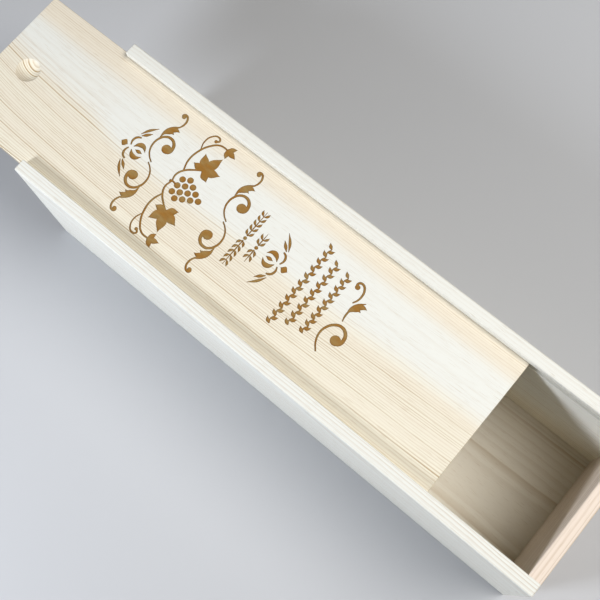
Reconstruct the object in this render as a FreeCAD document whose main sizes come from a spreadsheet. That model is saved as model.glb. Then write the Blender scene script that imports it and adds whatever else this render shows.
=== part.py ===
import FreeCAD, Part
import os

import Sketcher

# Pine box for one bottle, with a lid that slides in grooves below the rim. Sizes are in millimetres.
# The origin is the centre of the underside: +X points to the closed end, +Y to the rear side, +Z up.
# The lid is drawn slid partly open, towards -X.

SIZES = {
    "box_length": 355,
    "box_width": 100,
    "box_height": 100,
    "side_thickness": 7.5,
    "end_thickness": 7.5,
    "base_thickness": 5,
    "edge_round": 0.8,
    "rim_ease": 0.4,
    "rim_height": 4.5,
    "groove_depth": 2.5,
    "lid_thickness": 5.5,
    "lid_edge_round": 0.5,
    "lid_side_clearance": 0.4,
    "lid_top_clearance": 0.4,
    "lid_stop_clearance": 0.5,
    "lid_opening": 61,
    "scoop_diameter": 15,
    "scoop_depth": 3,
    "scoop_inset": 21,
    "brad_diameter": 1.2,
    "brad_length": 22,
    "brad_head_diameter": 1.8,
    "brad_head_height": 0.8,
    "brad_point_length": 2,
    "brad_set_depth": 0.6,
    "corner_brad_margin": 18,
    "corner_brad_count": 3,
    "base_brad_margin": 20,
    "base_brad_count": 5,
    "cut_overrun": 1,
}

# Sizes that follow from the driving ones, as expressions on the sheet
INNER_LENGTH = "(sizes.box_length - 2 * sizes.end_thickness)"
INNER_WIDTH = "(sizes.box_width - 2 * sizes.side_thickness)"
GROOVE_HEIGHT = "(sizes.lid_thickness + sizes.lid_top_clearance)"
GROOVE_LENGTH = "(sizes.box_length - sizes.end_thickness)"
LEDGE_HEIGHT = f"(sizes.box_height - sizes.rim_height - {GROOVE_HEIGHT})"
LID_LENGTH = f"({GROOVE_LENGTH} - sizes.lid_stop_clearance)"
LID_WIDTH = f"({INNER_WIDTH} + 2 * (sizes.groove_depth - sizes.lid_side_clearance))"
SCOOP_RADIUS = "((sizes.scoop_diameter ^ 2 / 4 + sizes.scoop_depth ^ 2) / (2 * sizes.scoop_depth))"
CORNER_BRAD_X = "(sizes.box_length / 2 - sizes.end_thickness / 2)"
CORNER_BRAD_SPAN = f"({LEDGE_HEIGHT} - 2 * sizes.corner_brad_margin)"
BASE_BRAD_SPAN = f"({INNER_LENGTH} - 2 * sizes.base_brad_margin)"
BASE_BRAD_Y = f"({INNER_WIDTH} / 2 - sizes.base_brad_margin)"
BASE_BRAD_Z = "(sizes.base_thickness / 2)"

# Turn of a brad's sketch about Z that drives it in the direction named
TOWARDS_REAR, TOWARDS_FRONT, TOWARDS_OPEN_END, TOWARDS_CLOSED_END = 0, 180, 90, -90

# Features that have to take material away
CUTS = ("PartDesign::Pocket", "PartDesign::Groove", "PartDesign::SubtractiveSphere", "PartDesign::Fillet")
NEAR = 1e-6

doc = FreeCAD.newDocument("bottle_box")
sheet = doc.addObject("Spreadsheet::Sheet", "sizes")
for row, (alias, number) in enumerate(SIZES.items(), start=1):
    sheet.set(f"A{row}", alias)
    sheet.set(f"B{row}", str(number))
    sheet.setAlias(f"B{row}", alias)
doc.recompute()


def value(expression):
    """Number that an expression on the sheet gives."""
    return float(sheet.evalExpression(expression))


def new_body(label, **place):
    """Body of one sub-part, placed by expressions for x, y and z."""
    body = doc.addObject("PartDesign::Body", label)
    body.Label = label
    for axis, expression in place.items():
        body.setExpression(f"Placement.Base.{axis}", expression)
    return body


def origin_feature(body, role):
    """Origin plane or axis of a body, by its role."""
    return next(feature for feature in body.Origin.OriginFeatures if feature.Role == role)


def sketch_on(body, name, plane, turn=0, **offset):
    """Sketch on an origin plane of its body, moved in the plane's own axes and turned about its normal."""
    sketch = body.newObject("Sketcher::SketchObject", name)
    sketch.AttachmentSupport = [(origin_feature(body, plane), "")]
    sketch.MapMode = "FlatFace"
    rotation = FreeCAD.Rotation(FreeCAD.Vector(0, 0, 1), turn)
    sketch.AttachmentOffset = FreeCAD.Placement(FreeCAD.Vector(), rotation)
    for axis, expression in offset.items():
        sketch.setExpression(f"AttachmentOffset.Base.{axis}", expression)
    return sketch


def draw_outline(sketch, points):
    """Closed outline of straight lines, each corner bound to its two expressions."""
    corners = [FreeCAD.Vector(value(x), value(y), 0) for x, y in points]
    for index, corner in enumerate(corners):
        following = corners[(index + 1) % len(corners)]
        sketch.addGeometry(Part.LineSegment(corner, following), False)
    for index, (corner, expressions) in enumerate(zip(corners, points)):
        following = (index + 1) % len(corners)
        sketch.addConstraint(Sketcher.Constraint("Coincident", index, 2, following, 1))
        for kind, measure, expression in zip(("DistanceX", "DistanceY"), corner, expressions):
            constraint = sketch.addConstraint(Sketcher.Constraint(kind, -1, 1, index, 1, measure))
            sketch.setExpression(f"Constraints[{constraint}]", expression)
    doc.recompute()


def rectangle(x_low, x_high, y_low, y_high):
    """Corners of a rectangle, for draw_outline."""
    return [(x_low, y_low), (x_high, y_low), (x_high, y_high), (x_low, y_high)]


def extrude(body, kind, name, sketch, length, reverse):
    """Pad or Pocket of a sketch. A Pad runs along the sketch's normal and a Pocket against it."""
    feature = body.newObject(f"PartDesign::{kind}", name)
    feature.Profile = sketch
    feature.setExpression("Length", length)
    feature.Reversed = reverse
    doc.recompute()
    return feature


def edges_in(shape, **planes):
    """Names of the edges that lie in every plane given, such as x=0."""
    names = []
    for number, edge in enumerate(shape.Edges, start=1):
        box = edge.BoundBox
        spans = {"x": (box.XMin, box.XMax), "y": (box.YMin, box.YMax), "z": (box.ZMin, box.ZMax)}
        if all(abs(end - level) < NEAR for axis, level in planes.items() for end in spans[axis]):
            names.append(f"Edge{number}")
    return names


def round_edges(body, name, base, edges, radius):
    """Fillet over the named edges of the base feature."""
    fillet = body.newObject("PartDesign::Fillet", name)
    fillet.Base = (base, sorted(set(edges)))
    fillet.setExpression("Radius", radius)
    doc.recompute()


def brad_outline(recess):
    """Half section of a brad, depth along y. With recess it also takes in the hole above the head."""
    head_top = "0" if recess else "sizes.brad_set_depth"
    head_bottom = "sizes.brad_set_depth + sizes.brad_head_height"
    tip = "sizes.brad_set_depth + sizes.brad_length"
    head_radius, radius = "sizes.brad_head_diameter / 2", "sizes.brad_diameter / 2"
    return [
        ("0", head_top),
        (head_radius, head_top),
        (head_radius, head_bottom),
        (radius, head_bottom),
        (radius, f"{tip} - sizes.brad_point_length"),
        ("0", tip),
    ]


def turn_brads(body, name, kind, turn, repeats, **start):
    """Brads (Revolution) or their holes (Groove): one at the start point, then its repeats.

    A repeat is ("row", axis role, length, count) or ("mirror", plane role).
    """
    sketch = sketch_on(body, f"{name}_section", "XY_Plane", turn, **start)
    draw_outline(sketch, brad_outline(recess=kind == "Groove"))
    first = body.newObject(f"PartDesign::{kind}", f"{name}_first")
    first.Profile = sketch
    first.ReferenceAxis = (sketch, ["V_Axis"])
    doc.recompute()
    pattern = body.newObject("PartDesign::MultiTransform", name)
    pattern.Originals = [first]
    steps = []
    for repeat, role, *extent in repeats:
        if repeat == "row":
            step = body.newObject("PartDesign::LinearPattern", f"{name}_row")
            step.Direction = (origin_feature(body, role), [""])
            step.setExpression("Length", extent[0])
            step.setExpression("Occurrences", extent[1])
        else:
            step = body.newObject("PartDesign::Mirrored", f"{name}_mirror")
            step.MirrorPlane = (origin_feature(body, role), [""])
        steps.append(step)
    pattern.Transformations = steps
    body.Tip = pattern
    doc.recompute()


CORNER_ROW = ("row", "Z_Axis", CORNER_BRAD_SPAN, "sizes.corner_brad_count")
BASE_ROW = ("row", "X_Axis", BASE_BRAD_SPAN, "sizes.base_brad_count")
TO_FRONT_AND_REAR = ("mirror", "XZ_Plane")
TO_BOTH_ENDS = ("mirror", "YZ_Plane")


def make_side_panel(label, inward):
    """Long wall whose outer face is its own y = 0 plane. inward is 1 for the front wall, -1 for the rear."""
    body = new_body(label, y=f"{-inward} * sizes.box_width / 2")
    sketch = sketch_on(body, f"{label}_face", "XZ_Plane")
    half_length = "sizes.box_length / 2"
    draw_outline(sketch, rectangle(f"-{half_length}", half_length, "0", "sizes.box_height"))
    board = extrude(body, "Pad", f"{label}_board", sketch, "sizes.side_thickness", reverse=inward > 0)

    top, end = value("sizes.box_height"), value(half_length)
    arrises = edges_in(board.Shape, y=0)
    arrises += edges_in(board.Shape, z=top, x=end) + edges_in(board.Shape, z=top, x=-end)
    round_edges(body, f"{label}_arrises", board, arrises, "sizes.edge_round")

    # The groove and the eased rim start at the open end and stop at the closed end panel
    inner_face = f"{inward} * sizes.side_thickness"
    past_face = f"{inward} * (sizes.side_thickness + sizes.cut_overrun)"
    cut_start = f"-{half_length} - sizes.cut_overrun"
    cut_length = f"{GROOVE_LENGTH} + sizes.cut_overrun"
    sketch = sketch_on(body, f"{label}_groove_section", "YZ_Plane", z=cut_start)
    groove_floor = f"{inward} * (sizes.side_thickness - sizes.groove_depth)"
    groove_top = f"{LEDGE_HEIGHT} + {GROOVE_HEIGHT}"
    draw_outline(sketch, rectangle(groove_floor, past_face, LEDGE_HEIGHT, groove_top))
    extrude(body, "Pocket", f"{label}_groove", sketch, cut_length, reverse=True)
    sketch = sketch_on(body, f"{label}_ease_section", "YZ_Plane", z=cut_start)
    eased = [
        (f"{inner_face} - {inward} * sizes.rim_ease", "sizes.box_height"),
        (inner_face, "sizes.box_height"),
        (inner_face, "sizes.box_height - sizes.rim_ease"),
    ]
    draw_outline(sketch, eased)
    extrude(body, "Pocket", f"{label}_ease", sketch, cut_length, reverse=True)

    turn = TOWARDS_REAR if inward > 0 else TOWARDS_FRONT
    corner = {"x": f"-{CORNER_BRAD_X}", "z": "sizes.corner_brad_margin"}
    turn_brads(body, f"{label}_corner_holes", "Groove", turn, [CORNER_ROW, TO_BOTH_ENDS], **corner)
    first = {"x": f"-{BASE_BRAD_SPAN} / 2", "z": BASE_BRAD_Z}
    turn_brads(body, f"{label}_base_holes", "Groove", turn, [BASE_ROW], **first)
    return body


def make_end_panel(label, inward, height):
    """End wall between the sides, its outer face its own x = 0 plane. inward is -1 at the closed end."""
    body = new_body(label, x=f"{-inward} * sizes.box_length / 2")
    half_width = f"{INNER_WIDTH} / 2"
    sketch = sketch_on(body, f"{label}_face", "YZ_Plane")
    draw_outline(sketch, rectangle(f"-{half_width}", half_width, "0", height))
    board = extrude(body, "Pad", f"{label}_board", sketch, "sizes.end_thickness", reverse=inward < 0)

    arrises = edges_in(board.Shape, x=0, z=0) + edges_in(board.Shape, x=0, z=value(height))
    round_edges(body, f"{label}_arrises", board, arrises, "sizes.edge_round")

    # The inner top edge is eased over the whole width. The XZ plane's normal points to the front
    inner_face = f"{inward} * sizes.end_thickness"
    sketch = sketch_on(body, f"{label}_ease_section", "XZ_Plane", z=f"{half_width} + sizes.cut_overrun")
    eased = [
        (f"{inner_face} - {inward} * sizes.rim_ease", height),
        (inner_face, height),
        (inner_face, f"{height} - sizes.rim_ease"),
    ]
    draw_outline(sketch, eased)
    extrude(body, "Pocket", f"{label}_ease", sketch, f"{INNER_WIDTH} + 2 * sizes.cut_overrun", reverse=False)

    corner = {
        "x": f"{inward} * sizes.end_thickness / 2",
        "y": "-sizes.box_width / 2",
        "z": "sizes.corner_brad_margin",
    }
    repeats = [CORNER_ROW, TO_FRONT_AND_REAR]
    turn_brads(body, f"{label}_corner_holes", "Groove", TOWARDS_REAR, repeats, **corner)
    turn = TOWARDS_CLOSED_END if inward > 0 else TOWARDS_OPEN_END
    first = {"y": f"-{BASE_BRAD_Y}", "z": BASE_BRAD_Z}
    turn_brads(body, f"{label}_base_holes", "Groove", turn, [TO_FRONT_AND_REAR], **first)
    return body


# Where the base's brads start: the first along a side, and the first at the open end
BASE_SIDE_START = {"x": f"-{BASE_BRAD_SPAN} / 2", "y": "-sizes.box_width / 2", "z": BASE_BRAD_Z}
BASE_END_START = {"x": "-sizes.box_length / 2", "y": f"-{BASE_BRAD_Y}", "z": BASE_BRAD_Z}


def make_base_panel(label):
    """Floor of the box, between all four walls and flush with their lower edges."""
    body = new_body(label, z="0")
    half_length, half_width = f"{INNER_LENGTH} / 2", f"{INNER_WIDTH} / 2"
    sketch = sketch_on(body, f"{label}_face", "XY_Plane")
    draw_outline(sketch, rectangle(f"-{half_length}", half_length, f"-{half_width}", half_width))
    extrude(body, "Pad", f"{label}_board", sketch, "sizes.base_thickness", reverse=False)
    sides, ends = [BASE_ROW, TO_FRONT_AND_REAR], [TO_FRONT_AND_REAR, TO_BOTH_ENDS]
    turn_brads(body, f"{label}_side_holes", "Groove", TOWARDS_REAR, sides, **BASE_SIDE_START)
    turn_brads(body, f"{label}_end_holes", "Groove", TOWARDS_CLOSED_END, ends, **BASE_END_START)
    return body


def make_lid(label):
    """Flat board that rests on the groove ledges. Its nose is its own x = 0 plane, its underside z = 0."""
    nose = f"{INNER_LENGTH} / 2 - sizes.lid_stop_clearance - sizes.lid_opening"
    body = new_body(label, x=nose, z=LEDGE_HEIGHT)
    half_width = f"{LID_WIDTH} / 2"
    sketch = sketch_on(body, f"{label}_face", "XY_Plane")
    draw_outline(sketch, rectangle(f"-{LID_LENGTH}", "0", f"-{half_width}", half_width))
    board = extrude(body, "Pad", f"{label}_board", sketch, "sizes.lid_thickness", reverse=False)
    every_edge = [f"Edge{number}" for number in range(1, len(board.Shape.Edges) + 1)]
    round_edges(body, f"{label}_arrises", board, every_edge, "sizes.lid_edge_round")

    scoop = body.newObject("PartDesign::SubtractiveSphere", f"{label}_finger_scoop")
    scoop.AttachmentSupport = [(origin_feature(body, "XY_Plane"), "")]
    scoop.MapMode = "FlatFace"
    scoop.setExpression("Radius", SCOOP_RADIUS)
    scoop.setExpression("AttachmentOffset.Base.x", f"sizes.scoop_inset - {LID_LENGTH}")
    scoop_centre = f"sizes.lid_thickness + {SCOOP_RADIUS} - sizes.scoop_depth"
    scoop.setExpression("AttachmentOffset.Base.z", scoop_centre)
    doc.recompute()
    return body


def make_corner_brads(label):
    """Brads through the sides into the edges of both end panels."""
    body = new_body(label, z="0")
    corner = {"x": f"-{CORNER_BRAD_X}", "y": "-sizes.box_width / 2", "z": "sizes.corner_brad_margin"}
    repeats = [CORNER_ROW, TO_BOTH_ENDS, TO_FRONT_AND_REAR]
    turn_brads(body, f"{label}_group", "Revolution", TOWARDS_REAR, repeats, **corner)
    return body


def make_base_brads(label):
    """Brads through the sides and ends into the edges of the base."""
    body = new_body(label, z="0")
    sides, ends = [BASE_ROW, TO_FRONT_AND_REAR], [TO_FRONT_AND_REAR, TO_BOTH_ENDS]
    turn_brads(body, f"{label}_along_sides", "Revolution", TOWARDS_REAR, sides, **BASE_SIDE_START)
    turn_brads(body, f"{label}_at_ends", "Revolution", TOWARDS_CLOSED_END, ends, **BASE_END_START)
    return body


sub_parts = [
    make_side_panel("front_side_panel", inward=1),
    make_side_panel("rear_side_panel", inward=-1),
    make_end_panel("closed_end_panel", inward=-1, height="sizes.box_height"),
    make_end_panel("open_end_panel", inward=1, height=LEDGE_HEIGHT),
    make_base_panel("base_panel"),
    make_lid("sliding_lid"),
    make_corner_brads("corner_pins"),
    make_base_brads("base_pins"),
]
doc.recompute()

for item in doc.Objects:
    if "Invalid" in item.State or "Error" in item.State:
        raise RuntimeError(f"{item.Name} failed: {item.State}")
    if item.TypeId in CUTS and item.Shape.Volume >= item.BaseFeature.Shape.Volume:
        raise RuntimeError(f"{item.Name} cuts nothing")
for part in sub_parts:
    if part.Shape.isNull() or not part.Shape.isValid():
        raise RuntimeError(f"{part.Label} has no valid shape")

os.makedirs("parts", exist_ok=True)
for part in sub_parts:
    part.Shape.exportStep(f"parts/{part.Label}.step")
    print(part.Label, len(part.Shape.Solids), "solids", round(part.Shape.Volume), "mm3")
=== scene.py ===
import math

import bpy
from mathutils import Matrix, Vector


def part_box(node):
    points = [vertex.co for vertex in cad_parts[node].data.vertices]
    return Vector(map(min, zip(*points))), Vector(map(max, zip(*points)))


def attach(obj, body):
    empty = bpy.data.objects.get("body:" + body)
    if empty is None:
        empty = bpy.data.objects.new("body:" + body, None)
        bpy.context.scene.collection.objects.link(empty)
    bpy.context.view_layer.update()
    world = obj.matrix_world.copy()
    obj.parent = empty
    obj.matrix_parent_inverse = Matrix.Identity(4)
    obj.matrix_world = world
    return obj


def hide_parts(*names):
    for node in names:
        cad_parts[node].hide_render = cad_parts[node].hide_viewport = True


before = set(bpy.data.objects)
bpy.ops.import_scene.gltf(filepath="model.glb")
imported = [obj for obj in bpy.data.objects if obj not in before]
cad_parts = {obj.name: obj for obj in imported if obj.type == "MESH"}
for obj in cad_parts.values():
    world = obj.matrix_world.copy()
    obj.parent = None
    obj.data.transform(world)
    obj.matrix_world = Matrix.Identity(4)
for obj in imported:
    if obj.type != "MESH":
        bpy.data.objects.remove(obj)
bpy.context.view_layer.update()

# Looks of a pine bottle box with a sliding lid. Lengths named here are in millimetres, as in the part, but the
# studio's are in metres.
MM = 0.001

# Corners of a mesh that lie closer than this are one corner
MERGE_WITHIN = 0.002

# Camera, from the photograph's straight edges
CAMERA_AT = Vector((112.2, -96.9, 599.9))
CAMERA_AIM = Vector((-4.2, -7.1, 100.0))
CAMERA_RIGHT = Vector((0.762, 0.644, -0.062))
LENS, SENSOR = 59.39, 36.0

# Burnt ornament
ENGRAVING_DEPTH = 0.35

# Grain of the lid: its pale heart's radius, where its bowed lines turn back, and where they run straight
LID_HEART = 17.4
BOW_TURNS_AT = -130
STRAIGHT_NEAR = -44.6
STRAIGHT_FAR = 31

# Places on the lid, each from where it begins to where it is in full: the wood in front of the heart, the
# outer end and the dark rings beside the heart. The wood of the scoop is in full at a depth below the top.
FRONT_WOOD = 28, 14
OUTER_END = -140, -175
DARK_RINGS = LID_HEART + 8.5, LID_HEART + 5.5
SCOOP_DEPTH = 1.5

# Late wood of a growth ring, as shares of the ring's width: where it sets in and where it is darkest
LATE_SETS_IN = 0.35
LATE_DARKEST = 0.88

# Studio, in metres and watts. A lamp has a name, a place, an aim, a diameter, a power and a tint.
LAMPS = (
    ("key", (-0.33, -0.6, 0.45), (-0.06, -0.05, 0.07), 0.2, 4.0, (0.95, 1.0, 1.09)),
    ("front_fill", (-0.05, -1.0, 0.3), (0.0, -0.05, 0.06), 0.3, 0.5, (0.98, 1.0, 1.04)),
    ("rear_fill", (0.0, 0.6, 0.4), (0.0, 0.05, 0.09), 0.3, 0.3, (1.0, 1.0, 1.0)),
    ("overhead", (0.5, 0.3, 1.0), (0.05, 0.0, 0.1), 0.7, 9.6, (1.02, 1.0, 0.975)),
)
WORLD_TINT = (1.0, 0.95, 0.88, 1.0)
WORLD_STRENGTH = 0.05
FLOOR_SIZE = 8


def srgb(red, green, blue):
    """Linear colour of three display values from 0 to 255."""
    def linear(value):
        share = value / 255
        return share / 12.92 if share <= 0.04045 else ((share + 0.055) / 1.055) ** 2.4
    return (linear(red), linear(green), linear(blue), 1.0)


class Wire:
    """A socket of a finish. Arithmetic on it adds Math nodes."""

    def __init__(self, finish, socket):
        self.finish = finish
        self.socket = socket

    def math(self, operation, *values):
        return self.finish.node("ShaderNodeMath", {"operation": operation}, dict(enumerate(values)))

    def __add__(self, other):
        return self.math("ADD", self, other)

    __radd__ = __add__

    def __sub__(self, other):
        return self.math("SUBTRACT", self, other)

    def __rsub__(self, other):
        return self.math("SUBTRACT", other, self)

    def __mul__(self, other):
        return self.math("MULTIPLY", self, other)

    __rmul__ = __mul__

    def __truediv__(self, other):
        return self.math("DIVIDE", self, other)

    def __pow__(self, other):
        return self.math("POWER", self, other)


class Finish:
    """Material with one Principled shader. The node method adds any other node."""

    def __init__(self, name, **constants):
        self.material = bpy.data.materials.new(name)
        self.material.use_nodes = True
        self.tree = self.material.node_tree
        self.shader = self.tree.nodes["Principled BSDF"]
        for socket, value in constants.items():
            self.shader.inputs[socket.replace("_", " ")].default_value = value

    def node(self, kind, settings, sockets, output=0):
        node = self.tree.nodes.new(kind)
        for key, value in settings.items():
            setattr(node, key, value)
        for key, value in sockets.items():
            self.join(value, node.inputs[key])
        return Wire(self, node.outputs[output])

    def join(self, value, socket):
        if isinstance(value, Wire):
            self.tree.links.new(value.socket, socket)
        else:
            socket.default_value = value

    def feed(self, socket, wire):
        self.join(wire, self.shader.inputs[socket])

    def mix(self, factor, first, second):
        """Mix of two colours. The Mix node's colour sockets are known by number only."""
        settings = {"data_type": "RGBA", "clamp_factor": True}
        return self.node("ShaderNodeMix", settings, {0: factor, 6: first, 7: second}, output=2)

    def place(self):
        """The surface's three coordinates on its piece, in millimetres."""
        place = self.node("ShaderNodeTexCoord", {}, {}, output="Object")
        scaled = self.node("ShaderNodeVectorMath", {"operation": "MULTIPLY"}, {0: place, 1: (1 / MM,) * 3})
        return [self.node("ShaderNodeSeparateXYZ", {}, {0: scaled}, output=axis) for axis in range(3)]

    def facing(self, axis):
        """How squarely the surface faces along an axis."""
        normal = self.node("ShaderNodeTexCoord", {}, {}, output="Normal")
        return self.node("ShaderNodeSeparateXYZ", {}, {0: normal}, output=axis)

    def noise(self, vector, detail=2.0):
        return self.node("ShaderNodeTexNoise", {}, {"Vector": vector, "Scale": 1.0, "Detail": detail})

    def combine(self, x, y, z):
        return self.node("ShaderNodeCombineXYZ", {}, {0: x, 1: y, 2: z})

    def smooth(self, value, low, high):
        settings = {"interpolation_type": "SMOOTHSTEP"}
        sockets = {"Value": value, "From Min": low, "From Max": high}
        return self.node("ShaderNodeMapRange", settings, sockets)


# Bare pine: early wood in five tones, the late wood of the rings, and end grain
PALE = srgb(244, 245, 238)
WARM = srgb(246, 239, 223)
CREAM = srgb(244, 235, 216)
STRAW = srgb(248, 242, 223)
ROSY = srgb(245, 230, 215)
LATE = srgb(172, 138, 80)
END = srgb(218, 196, 156)

# Burnt lines: two browns of their floor, its dark streaks, and their walls
GOLDEN_BROWN = srgb(160, 112, 44)
DULL_BROWN = srgb(163, 132, 78)
DARK_STREAK = srgb(134, 101, 52)
BURNT_WALL = srgb(100, 74, 34)

# Wire of the brads, and the floor's two greys
BRIGHT_WIRE = srgb(196, 196, 192)
TARNISHED_WIRE = srgb(150, 146, 138)
FLOOR_GREY = srgb(196, 198, 201)
FLOOR_PALE_GREY = srgb(201, 202, 204)

# What a board's figure gives where the board is alike all over
PLAIN_FIGURE = {"rings": 1.0, "streak": 0.0, "age": 0.0}


def lid_figure(finish, along, across, up, radius):
    """How the lid differs from place to place.

    Its rings are dark beside the pale heart at the outer end and faint at the rear. Its straw tone lies in
    front of the heart, and the wood is riper down in the scoop.
    """
    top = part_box("sliding_lid")[1].z / MM
    front = finish.smooth(across, *FRONT_WOOD)
    outer = finish.smooth(along, *OUTER_END) * finish.smooth(radius, *DARK_RINGS) * front
    scoop = finish.smooth(up, top, top - SCOOP_DEPTH)
    rings = (1 + outer * 0.4 + scoop * 0.5) * (front * 0.4 + 0.6)
    return {"rings": rings, "streak": front, "age": scoop * 6.0 + outer * 4.0}


def pine(
    name, grain, pith, ring, start,
    warm=WARM, warm_from=0.0, ripening=6.5, streak=None, contrast=0.6, pale_rings=0.12, bow=None, figure=None,
):
    """Sanded pine. Growth rings lie round a pith line that runs along the grain.

    grain is the axis that the fibres follow, and pith gives the pith line's two other coordinates. ring is a
    ring's width and start shifts the pattern along the grain. The wood turns from pale to warm outside the
    radius warm_from, over a width of ripening, and streak is a second tone of the warm wood. The rings have
    the strength contrast there, and the share pale_rings of it in the pale wood. bow is how far the grain
    bends aside in 100 mm, before and after its turn, between edges where it runs straight. figure gives what
    differs from place to place on the board.
    """
    finish = Finish(name, Specular_IOR_Level=0.3)
    axes = finish.place()
    along = axes.pop("xyz".index(grain))
    across, up = axes
    on_board = along, across, up
    if bow:
        turned = along.math("GREATER_THAN", along, BOW_TURNS_AT)
        bend = ((along - BOW_TURNS_AT) / 100) ** 2 * (turned * (bow[1] - bow[0]) + bow[0])
        share = (1 - across / STRAIGHT_NEAR) * (1 - across / STRAIGHT_FAR)
        across = across - bend * share.math("MAXIMUM", share, 0.0)
    along = along + start

    def streaks(lengthwise, crosswise, detail=1.0):
        """Noise that changes at one rate along the grain and at another across it, per millimetre."""
        return finish.noise(finish.combine(along * lengthwise, across * crosswise, up * crosswise), detail)

    # Growth rings, with a slow wander along the board and uneven widths
    wander = streaks(0.006, 0.02) - 0.5
    ripple = streaks(0.03, 0.11) - 0.5
    radius = ((across - pith[0]) ** 2 + (up - pith[1]) ** 2) ** 0.5 + wander * 4.0 + ripple * 0.7
    band = streaks(0.004, 0.045) - 0.5
    local = figure(finish, *on_board, radius) if figure else PLAIN_FIGURE
    ripe = finish.smooth(radius + band * 5.0 + local["age"], warm_from, warm_from + ripening)
    uneven = finish.node("ShaderNodeTexNoise", {"noise_dimensions": "1D"}, {"W": radius * 0.2, "Scale": 1.0})
    turns = radius / ring + uneven * 1.5
    phase = turns.math("FRACT", turns)
    number = turns.math("FLOOR", turns)
    strength = finish.node("ShaderNodeTexWhiteNoise", {"noise_dimensions": "1D"}, {"W": number})
    late = finish.smooth(phase, LATE_SETS_IN, LATE_DARKEST) * (1 - finish.smooth(phase, LATE_DARKEST, 1.0))
    fade = streaks(0.012, 0.08, detail=2.0) * 1.3
    late = late * (strength ** 2 * 0.75 + 0.25) * fade
    late = late * (ripe * (1 - pale_rings) + pale_rings) * contrast * local["rings"]

    # Fibres, resin ducts and the denser end grain
    fibre = streaks(0.05, 2.6, detail=3.0)
    duct = finish.smooth(streaks(0.12, 3.4, detail=0.0), 0.68, 0.76)
    facing = finish.facing("xyz".index(grain))
    end_grain = finish.smooth(facing.math("ABSOLUTE", facing), 0.7, 0.95)
    if streak:
        tone = streaks(0.004, 0.09)
        warm = finish.mix((finish.smooth(tone, 0.42, 0.6) * 0.6 + 0.4) * local["streak"], warm, streak)
    colour = finish.mix(ripe, PALE, warm)
    colour = finish.mix(late, colour, LATE)
    colour = finish.mix(end_grain * 0.5, colour, END)
    colour = finish.mix(fibre * 0.08 + duct * 0.2, colour, LATE)
    finish.feed("Base Color", colour)
    finish.feed("Roughness", 0.55 + fibre * 0.25 - late * 0.1)
    height = fibre * 0.5 + late * 0.6 - duct * 0.5
    bump = finish.node("ShaderNodeBump", {}, {"Strength": 0.35, "Distance": 0.06 * MM, "Height": height})
    finish.feed("Normal", bump)
    return finish.material


def burnt_wood():
    """Floor and walls of the burnt lines: brown, streaked along the grain and uneven in depth of burn."""
    finish = Finish("burnt_pine", Specular_IOR_Level=0.25)
    x, y, z = finish.place()
    patch = finish.noise(finish.combine(x * 0.12, y * 0.25, z))
    streak = finish.noise(finish.combine(x * 0.25, y * 3.2, z))
    up = finish.facing("xyz".index("z"))
    colour = finish.mix(finish.smooth(patch, 0.3, 0.7), GOLDEN_BROWN, DULL_BROWN)
    colour = finish.mix(finish.smooth(streak, 0.35, 0.75) * 0.4, colour, DARK_STREAK)
    colour = finish.mix(finish.smooth(up, 0.95, 0.6), colour, BURNT_WALL)
    finish.feed("Base Color", colour)
    finish.feed("Roughness", 0.65 + streak * 0.25)
    bump = finish.node("ShaderNodeBump", {}, {"Strength": 0.4, "Distance": 0.08 * MM, "Height": streak})
    finish.feed("Normal", bump)
    return finish.material


def brad_steel():
    """Bright drawn wire with a little uneven tarnish."""
    finish = Finish("brad_steel", Metallic=1.0)
    place = finish.node("ShaderNodeTexCoord", {}, {}, output="Object")
    tarnish = finish.node("ShaderNodeTexNoise", {}, {"Vector": place, "Scale": 900.0, "Detail": 3.0})
    finish.feed("Base Color", finish.mix(tarnish, BRIGHT_WIRE, TARNISHED_WIRE))
    finish.feed("Roughness", 0.25 + tarnish * 0.3)
    return finish.material


# Burnt ornament: strokes, each a path and the half width at its points.
# u runs to the right and v up, as the lid is read with its finger scoop at the top.


def stroke(points, start, middle, end):
    """Tapered line, whose half width runs on a curve through its start, middle and end."""
    shares = [index / (len(points) - 1) for index in range(len(points))]
    widths = [
        start * (1 - 2 * t) * (1 - t) + 4 * middle * t * (1 - t) + end * t * (2 * t - 1)
        for t in shares
    ]
    return points, [max(0.0, width) for width in widths]


def bead(centre, radius):
    """Round dot: a straight stroke whose half width follows a circle."""
    steps = 6
    turns = [math.pi * step / steps for step in range(steps + 1)]
    points = [(centre[0] - radius * math.cos(turn), centre[1]) for turn in turns]
    return points, [radius * math.sin(turn) for turn in turns]


def placed(strokes, u, v, turn=0):
    """Copies of strokes turned by an angle in degrees and moved to a place."""
    cosine, sine = math.cos(math.radians(turn)), math.sin(math.radians(turn))
    return [
        ([(u + p * cosine - q * sine, v + p * sine + q * cosine) for p, q in points], widths)
        for points, widths in strokes
    ]


def mirrored(strokes):
    return strokes + [([(-p, q) for p, q in points], widths) for points, widths in strokes]


def acanthus():
    """Half leaf that hangs from its stem, with three pointed lobes."""
    return [
        stroke([(-3.8, 0.9), (0.8, 0.7), (4.6, -1.1), (7.7, -3.7)], 0.3, 1.1, 0.2),
        stroke([(0.4, 0.2), (3.4, -1.4), (5.0, -3.6), (5.2, -6.4)], 0.5, 1.6, 0.0),
        stroke([(-0.8, 0.3), (1.3, -1.0), (2.3, -2.5), (2.0, -4.6)], 0.4, 1.2, 0.0),
    ]


def curled_tail():
    """Thin stem that ends in a small curl."""
    path = [(0, 0), (2.6, -1.7), (5.4, -2.4), (8.3, -1.8), (9.9, -0.1), (9.7, 1.5), (8.6, 1.9), (7.9, 1.1)]
    return [stroke(path, 0.4, 0.65, 0.5), bead((8.4, 0.9), 1.25)]


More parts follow.
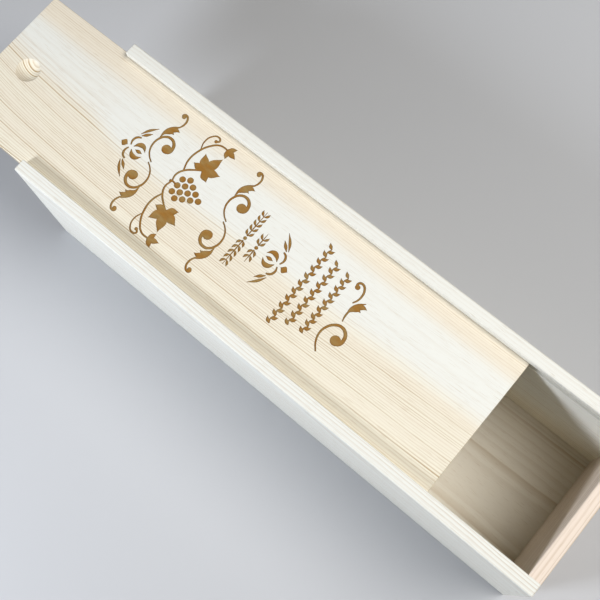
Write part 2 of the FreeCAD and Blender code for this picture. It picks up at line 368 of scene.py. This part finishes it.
def scroll():
    """Scroll that rises from its start and rolls into a volute."""
    path = [(0.4, -0.7), (2.9, 2.9), (5.9, 5.1), (9.8, 6.1), (13.8, 5.5), (16.9, 3.4), (18.1, 0.1)]
    path += [(16.9, -3.1), (13.8, -4.8), (10.9, -4.3), (10.4, -2.4)]
    return [stroke(path, 0.4, 0.75, 1.3), bead((11.6, -2.2), 2.9)]


def scroll_pair():
    """Two scrolls that turn about the middle, each with a leaf and a curled tail."""
    half = scroll() + placed(acanthus(), 18.7, 4.8) + placed(curled_tail(), 24.2, 2.3)
    return half + placed(half, 0, 0, turn=180)


def bud():
    """Upright bud: kernel, petals, brows, a lozenge above and two pairs of leaves."""
    half = [
        stroke([(1.0, 4.5), (3.6, 2.2), (4.0, -0.4), (1.6, -3.3)], 0.2, 1.45, 0.1),
        stroke([(0.9, 6.5), (3.8, 7.3), (6.5, 6.2), (7.6, 4.0)], 0.4, 0.7, 0.5),
        stroke([(9.2, 5.9), (13.5, 3.3), (17.8, -0.8)], 0.2, 0.85, 0.15),
        stroke([(8.6, 4.9), (10.7, 2.6), (13.1, 0.1)], 0.25, 0.95, 0.15),
    ]
    middle = [
        stroke([(0, 2.5), (0, 0.1), (0, -2.3)], 0.15, 1.1, 0.15),
        stroke([(0, 12.8), (0, 10.4), (0, 8.0)], 0.0, 2.2, 0.0),
    ]
    return mirrored(half) + middle


def leaf(base, heading, lobes):
    """Leaf of pointed lobes that fan out from its base.

    A lobe is an angle from the heading, a length and a half width.
    """
    strokes = []
    for angle, length, width in lobes:
        turn = math.radians(heading + angle)
        path = [
            (base[0] + math.cos(turn) * length * share, base[1] + math.sin(turn) * length * share)
            for share in (0, 0.5, 1)
        ]
        strokes.append(stroke(path, 0.9, width, 0.0))
    return strokes


def grapes():
    """Hanging bunch, row by row, with its stalk."""
    rows, pitch, drop, radius = (3, 4, 3, 2, 1), 4.5, 3.9, 1.9
    strokes = []
    for row, count in enumerate(rows):
        for index in range(count):
            strokes.append(bead(((index - (count - 1) / 2) * pitch, 6.4 - row * drop), radius))
    return strokes + [stroke([(0, 8.0), (0.3, 10.0), (-0.4, 12.0)], 0.6, 0.55, 0.8)]


def vine():
    """Bunch of grapes between two large leaves, with smaller leaves and tendrils outside them."""
    large = ((0, 13, 3.0), (52, 10.5, 2.7), (-52, 10.5, 2.7), (105, 7.5, 2.3), (-105, 7.5, 2.3))
    small = ((0, 7.0, 1.7), (55, 5.5, 1.5), (-55, 5.5, 1.5))
    half = leaf((15.5, 1.0), -20, large) + leaf((33.4, -2.0), -105, small)
    half += [
        stroke([(0.2, 10.6), (4.5, 11.4), (9.0, 9.4), (12.6, 5.4), (15.5, 1.0)], 0.5, 0.6, 0.5),
        stroke([(8.6, 9.6), (15, 11.6), (22, 11.0), (29, 7.8), (33, 3.2), (33.4, -2.0)], 0.5, 0.6, 0.5),
        stroke([(24, 10.4), (29, 12.0), (34, 10.8), (36.2, 7.6), (34.9, 5.4), (33.2, 6.5)], 0.35, 0.5, 0.6),
        bead((33.3, 6.9), 1.05),
    ]
    return mirrored(half) + grapes()


def laurel(width):
    """Band of leaf pairs that point away from a berry in the middle."""
    reach, pitch = width / 2, 3.4
    half = [stroke([(1.5, 0), (reach / 2, 0), (reach, 0)], 0.35, 0.35, 0.15)]
    for index in range(int((reach - 4) / pitch) + 1):
        u = 1.9 + index * pitch
        for way in (1, -1):
            half.append(stroke([(u, 0.1 * way), (u + 1.5, 1.7 * way), (u + 3.6, 2.4 * way)], 0.15, 0.8, 0.0))
    return mirrored(half) + [bead((0, 0), 1.1)]


def twig(width):
    """Wavy twig with pointed leaves on alternate sides."""
    leaves = 2 * round(width / 5.4) + 1
    step, rise = width / leaves, 0.5
    stem, strokes = [], []
    for index in range(leaves):
        side = -1 if index % 2 else 1
        u, v = step * (index - (leaves - 1) / 2) - 1.2, -rise * side
        stem.append((u, v))
        strokes.append(stroke([(u, v), (u + 1.1, v + 1.7 * side), (u + 2.9, v + 3.3 * side)], 0.25, 1.0, 0.0))
    return strokes + [stroke(stem, 0.4, 0.45, 0.3)]


def foot_scroll():
    """Scroll that rolls in on the left, with a leaf and a curled tail on the right."""
    path = [(-23.5, 0.4), (-19.3, 3.7), (-14.1, 5.2), (-9.6, 4.3), (-6.1, 1.6), (-4.7, -2.0), (-6.0, -5.5)]
    path += [(-9.6, -7.3), (-12.9, -6.5), (-13.6, -4.4)]
    tail = [(9.1, 2.0), (11.6, 0.8), (15.0, 0.4), (18.3, 1.3)]
    tail += [(20.4, 3.5), (20.2, 5.6), (18.6, 6.4), (17.2, 5.5)]
    return [
        stroke(path, 0.45, 0.85, 1.35),
        bead((-12.5, -4.1), 3.0),
        stroke([(-2.2, -0.3), (0.4, 0.4), (3.2, 0.6)], 0.3, 0.5, 0.6),
        *placed(acanthus(), 5.5, -0.4),
        stroke(tail, 0.4, 0.7, 0.6),
        bead((17.5, 5.3), 1.5),
    ]


def whole_ornament():
    """Every stroke on the lid. v is counted from the lid's outer end and u from its middle line."""
    return (
        placed(bud(), 2.5, -106.9, turn=3)
        + placed(scroll_pair(), 1.9, -116.0)
        + placed(vine(), 1.2, -144.0)
        + placed(scroll_pair(), 1.7, -172.4)
        + placed(laurel(38), 1.6, -187.4)
        + placed(laurel(20), 1.2, -195.8)
        + placed(bud(), 1.1, -205.2, turn=180)
        + placed(twig(55), 1.0, -228.0)
        + placed(twig(44), 1.0, -236.4)
        + placed(twig(41), 1.0, -245.2)
        + placed(foot_scroll(), 1.0, -257.8)
    )


def select_only(item):
    bpy.ops.object.select_all(action="DESELECT")
    item.select_set(True)
    bpy.context.view_layer.objects.active = item


def engraving_tool(end, top, material):
    """Solid that cuts the ornament: a tapered tube along each stroke, flat below at the engraving's depth."""
    bpy.ops.object.select_all(action="DESELECT")
    bpy.ops.curve.primitive_bezier_curve_add()
    tool = bpy.context.object
    curve = tool.data
    curve.splines.clear()
    curve.dimensions = "3D"
    curve.resolution_u = 6
    curve.bevel_depth = MM
    curve.bevel_resolution = 2
    curve.use_fill_caps = True
    for points, widths in whole_ornament():
        spline = curve.splines.new("BEZIER")
        spline.radius_interpolation = "CARDINAL"
        spline.bezier_points.add(len(points) - 1)
        for knot, (u, v), width in zip(spline.bezier_points, points, widths):
            knot.co = (end - v * MM, u * MM, top)
            knot.handle_left_type = knot.handle_right_type = "AUTO"
            knot.radius = width
    bpy.ops.object.convert(target="MESH")
    floor = top - ENGRAVING_DEPTH * MM
    for vertex in tool.data.vertices:
        vertex.select = vertex.co.z < floor
    bpy.ops.object.mode_set(mode="EDIT")
    bpy.ops.transform.resize(value=(1, 1, 0), center_override=(0, 0, floor))
    bpy.ops.mesh.select_all(action="SELECT")
    bpy.ops.mesh.remove_doubles(threshold=MERGE_WITHIN * MM)
    bpy.ops.mesh.normals_make_consistent(inside=False)
    bpy.ops.object.mode_set(mode="OBJECT")
    tool.data.materials.clear()
    tool.data.materials.append(material)
    return tool


def engraved_lid():
    """The lid board with its ornament cut in."""
    low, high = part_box("sliding_lid")
    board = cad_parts["sliding_lid"]
    lid = board.copy()
    lid.data = board.data.copy()
    for key in [key for key in lid.keys() if key.startswith("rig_")]:
        del lid[key]
    lid.name = "engraved_lid"
    lid.parent = None
    bpy.context.scene.collection.objects.link(lid)
    lid.data.materials.clear()
    tones = {"warm": CREAM, "streak": STRAW, "warm_from": LID_HEART, "ripening": 10}
    grain = {"bow": (7.0, 1.1), "contrast": 1.2, "figure": lid_figure}
    lid.data.materials.append(pine("pine_lid", "x", (13.7, 80), 1.2, 40, **tones, **grain))
    select_only(lid)
    bpy.ops.object.mode_set(mode="EDIT")
    bpy.ops.mesh.select_all(action="SELECT")
    bpy.ops.mesh.remove_doubles(threshold=MERGE_WITHIN * MM)
    bpy.ops.object.mode_set(mode="OBJECT")
    tool = engraving_tool(low.x, high.z, burnt_wood())
    cut = lid.modifiers.new("engrave", "BOOLEAN")
    cut.object = tool
    cut.solver = "EXACT"
    cut.use_self = True
    cut.material_mode = "TRANSFER"
    select_only(lid)
    bpy.ops.object.modifier_apply(modifier="engrave")
    bpy.data.objects.remove(tool)
    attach(lid, "lid")
    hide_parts("sliding_lid")


def dress(node, material):
    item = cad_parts[node]
    item.data.materials.clear()
    item.data.materials.append(material)


def dress_carcass():
    dress("front_side_panel", pine("pine_front", "x", (-96, 90), 1.7, 300, warm=PALE, contrast=0.85))
    rear = {"warm": STRAW, "warm_from": 40, "ripening": 40, "pale_rings": 0.6, "contrast": 0.8}
    dress("rear_side_panel", pine("pine_rear", "x", (8, 80), 2.0, 800, **rear))
    dress("closed_end_panel", pine("pine_closed_end", "y", (120, 70), 1.8, 500, warm=ROSY, contrast=0.9))
    dress("open_end_panel", pine("pine_open_end", "y", (-120, 20), 2.3, 950))
    dress("base_panel", pine("pine_base", "x", (-10, -40), 2.6, 1300))
    steel = brad_steel()
    dress("corner_pins", steel)
    dress("base_pins", steel)


def studio():
    """Pale floor, soft lights and the camera."""
    bpy.ops.object.select_all(action="DESELECT")
    bpy.ops.mesh.primitive_plane_add(size=FLOOR_SIZE)
    floor = bpy.context.object
    floor.name = "floor"
    ground = Finish("floor_paint", Roughness=0.9, Specular_IOR_Level=0.1)
    place = ground.node("ShaderNodeTexCoord", {}, {}, output="Object")
    mottle = ground.node("ShaderNodeTexNoise", {}, {"Vector": place, "Scale": 3.0, "Detail": 2.0})
    ground.feed("Base Color", ground.mix(mottle, FLOOR_GREY, FLOOR_PALE_GREY))
    floor.data.materials.append(ground.material)

    for name, place, aim, size, power, tint in LAMPS:
        light = bpy.data.lights.new(name, "AREA")
        light.shape = "DISK"
        light.size = size
        light.energy = power
        light.color = tint
        lamp = bpy.data.objects.new(name, light)
        lamp.location = place
        lamp.rotation_euler = (Vector(aim) - Vector(place)).to_track_quat("-Z", "Y").to_euler()
        lamp.visible_camera = False
        bpy.context.scene.collection.objects.link(lamp)

    world = bpy.data.worlds.new("studio")
    bpy.context.scene.world = world
    world.use_nodes = True
    background = world.node_tree.nodes["Background"].inputs
    background["Color"].default_value = WORLD_TINT
    background["Strength"].default_value = WORLD_STRENGTH
    bpy.context.scene.view_settings.view_transform = "Standard"

    camera = bpy.data.objects.new("camera", bpy.data.cameras.new("camera"))
    camera.data.lens = LENS
    camera.data.sensor_width = SENSOR
    forward = (CAMERA_AIM - CAMERA_AT).normalized()
    right = (CAMERA_RIGHT - CAMERA_RIGHT.dot(forward) * forward).normalized()
    back = -forward
    axes = Matrix((right, back.cross(right), back)).transposed().to_4x4()
    camera.matrix_world = Matrix.Translation(CAMERA_AT * MM) @ axes
    bpy.context.scene.collection.objects.link(camera)
    bpy.context.scene.camera = camera


dress_carcass()
engraved_lid()
studio()
